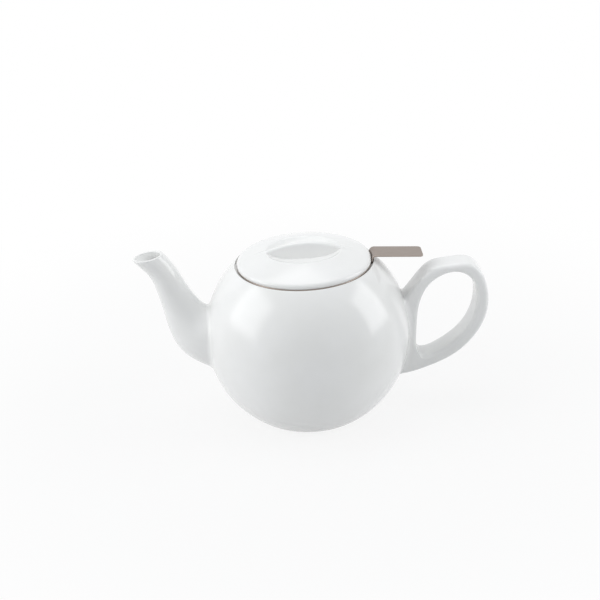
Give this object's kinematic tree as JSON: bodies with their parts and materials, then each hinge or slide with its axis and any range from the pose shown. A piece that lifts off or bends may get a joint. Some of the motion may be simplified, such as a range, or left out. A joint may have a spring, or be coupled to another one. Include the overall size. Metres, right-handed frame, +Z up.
{
  "type": "teapot with infuser",
  "caption": "Globe-shaped white porcelain teapot with curved spout, ear handle, lift-off lid and a lift-out perforated steel infuser with a strap handle.",
  "frame": {"origin": "centre of the foot ring, on the table", "axes": "+Z up, +X from the spout towards the handle, +Y to the back as seen with the spout on the left"},
  "size_m": [0.2245, 0.132, 0.1154],
  "materials": {
    "porcelain": "clear gloss glaze over white body",
    "steel": "brushed stainless sheet"
  },
  "bodies": {
    "pot": {"pot_body": "porcelain", "spout": "porcelain", "handle": "porcelain"},
    "infuser": {"infuser_rim": "steel", "infuser_wall": "steel", "infuser_floor": "steel", "infuser_strap": "steel"},
    "lid": {"lid": "porcelain"}
  },
  "joints": [
    {"name": "infuser_lift", "type": "slide", "parent": "pot", "child": "infuser", "axis": [0, 0, 1], "range_m": [0, 0.085]},
    {"name": "lid_lift", "type": "slide", "parent": "infuser", "child": "lid", "axis": [0, 0, 1], "range_m": [0, 0.04]}
  ]
}
